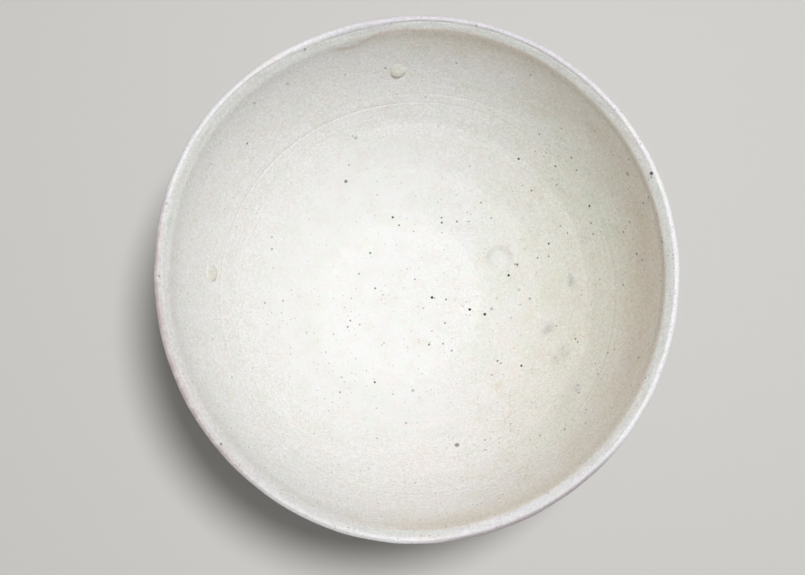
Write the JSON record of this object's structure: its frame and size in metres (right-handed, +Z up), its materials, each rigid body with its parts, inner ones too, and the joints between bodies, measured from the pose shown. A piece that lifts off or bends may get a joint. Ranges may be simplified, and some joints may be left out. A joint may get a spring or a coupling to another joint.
{
  "type": "tea bowl",
  "caption": "Wide hand-thrown stoneware tea bowl with a cream-white glaze, a lapped lip, a shallow tea pool on the floor and a bare luted foot ring.",
  "frame": {"origin": "centre of the circle the bowl stands on, in the plane of the foot's resting face", "axes": "+Z up along the axis the bowl was thrown on; +X to the right and +Y to the top of the picture; the body is round apart from small marks of the hand, so X and Y carry no function"},
  "size_m": [0.145, 0.1466, 0.07],
  "materials": {
    "bare_clay": "bare fired stoneware, sandy and matte",
    "foot_clay": "bare fired stoneware with trimming marks",
    "poured_glaze": "satin cream-white glaze with fine iron specks",
    "dipped_glaze": "satin cream-white glaze, slightly whiter where it laps over the lip"
  },
  "bodies": {
    "root": {"clay_body": "bare_clay", "foot_ring": "foot_clay", "inner_glaze": "poured_glaze", "outer_glaze": "dipped_glaze"}
  },
  "joints": []
}
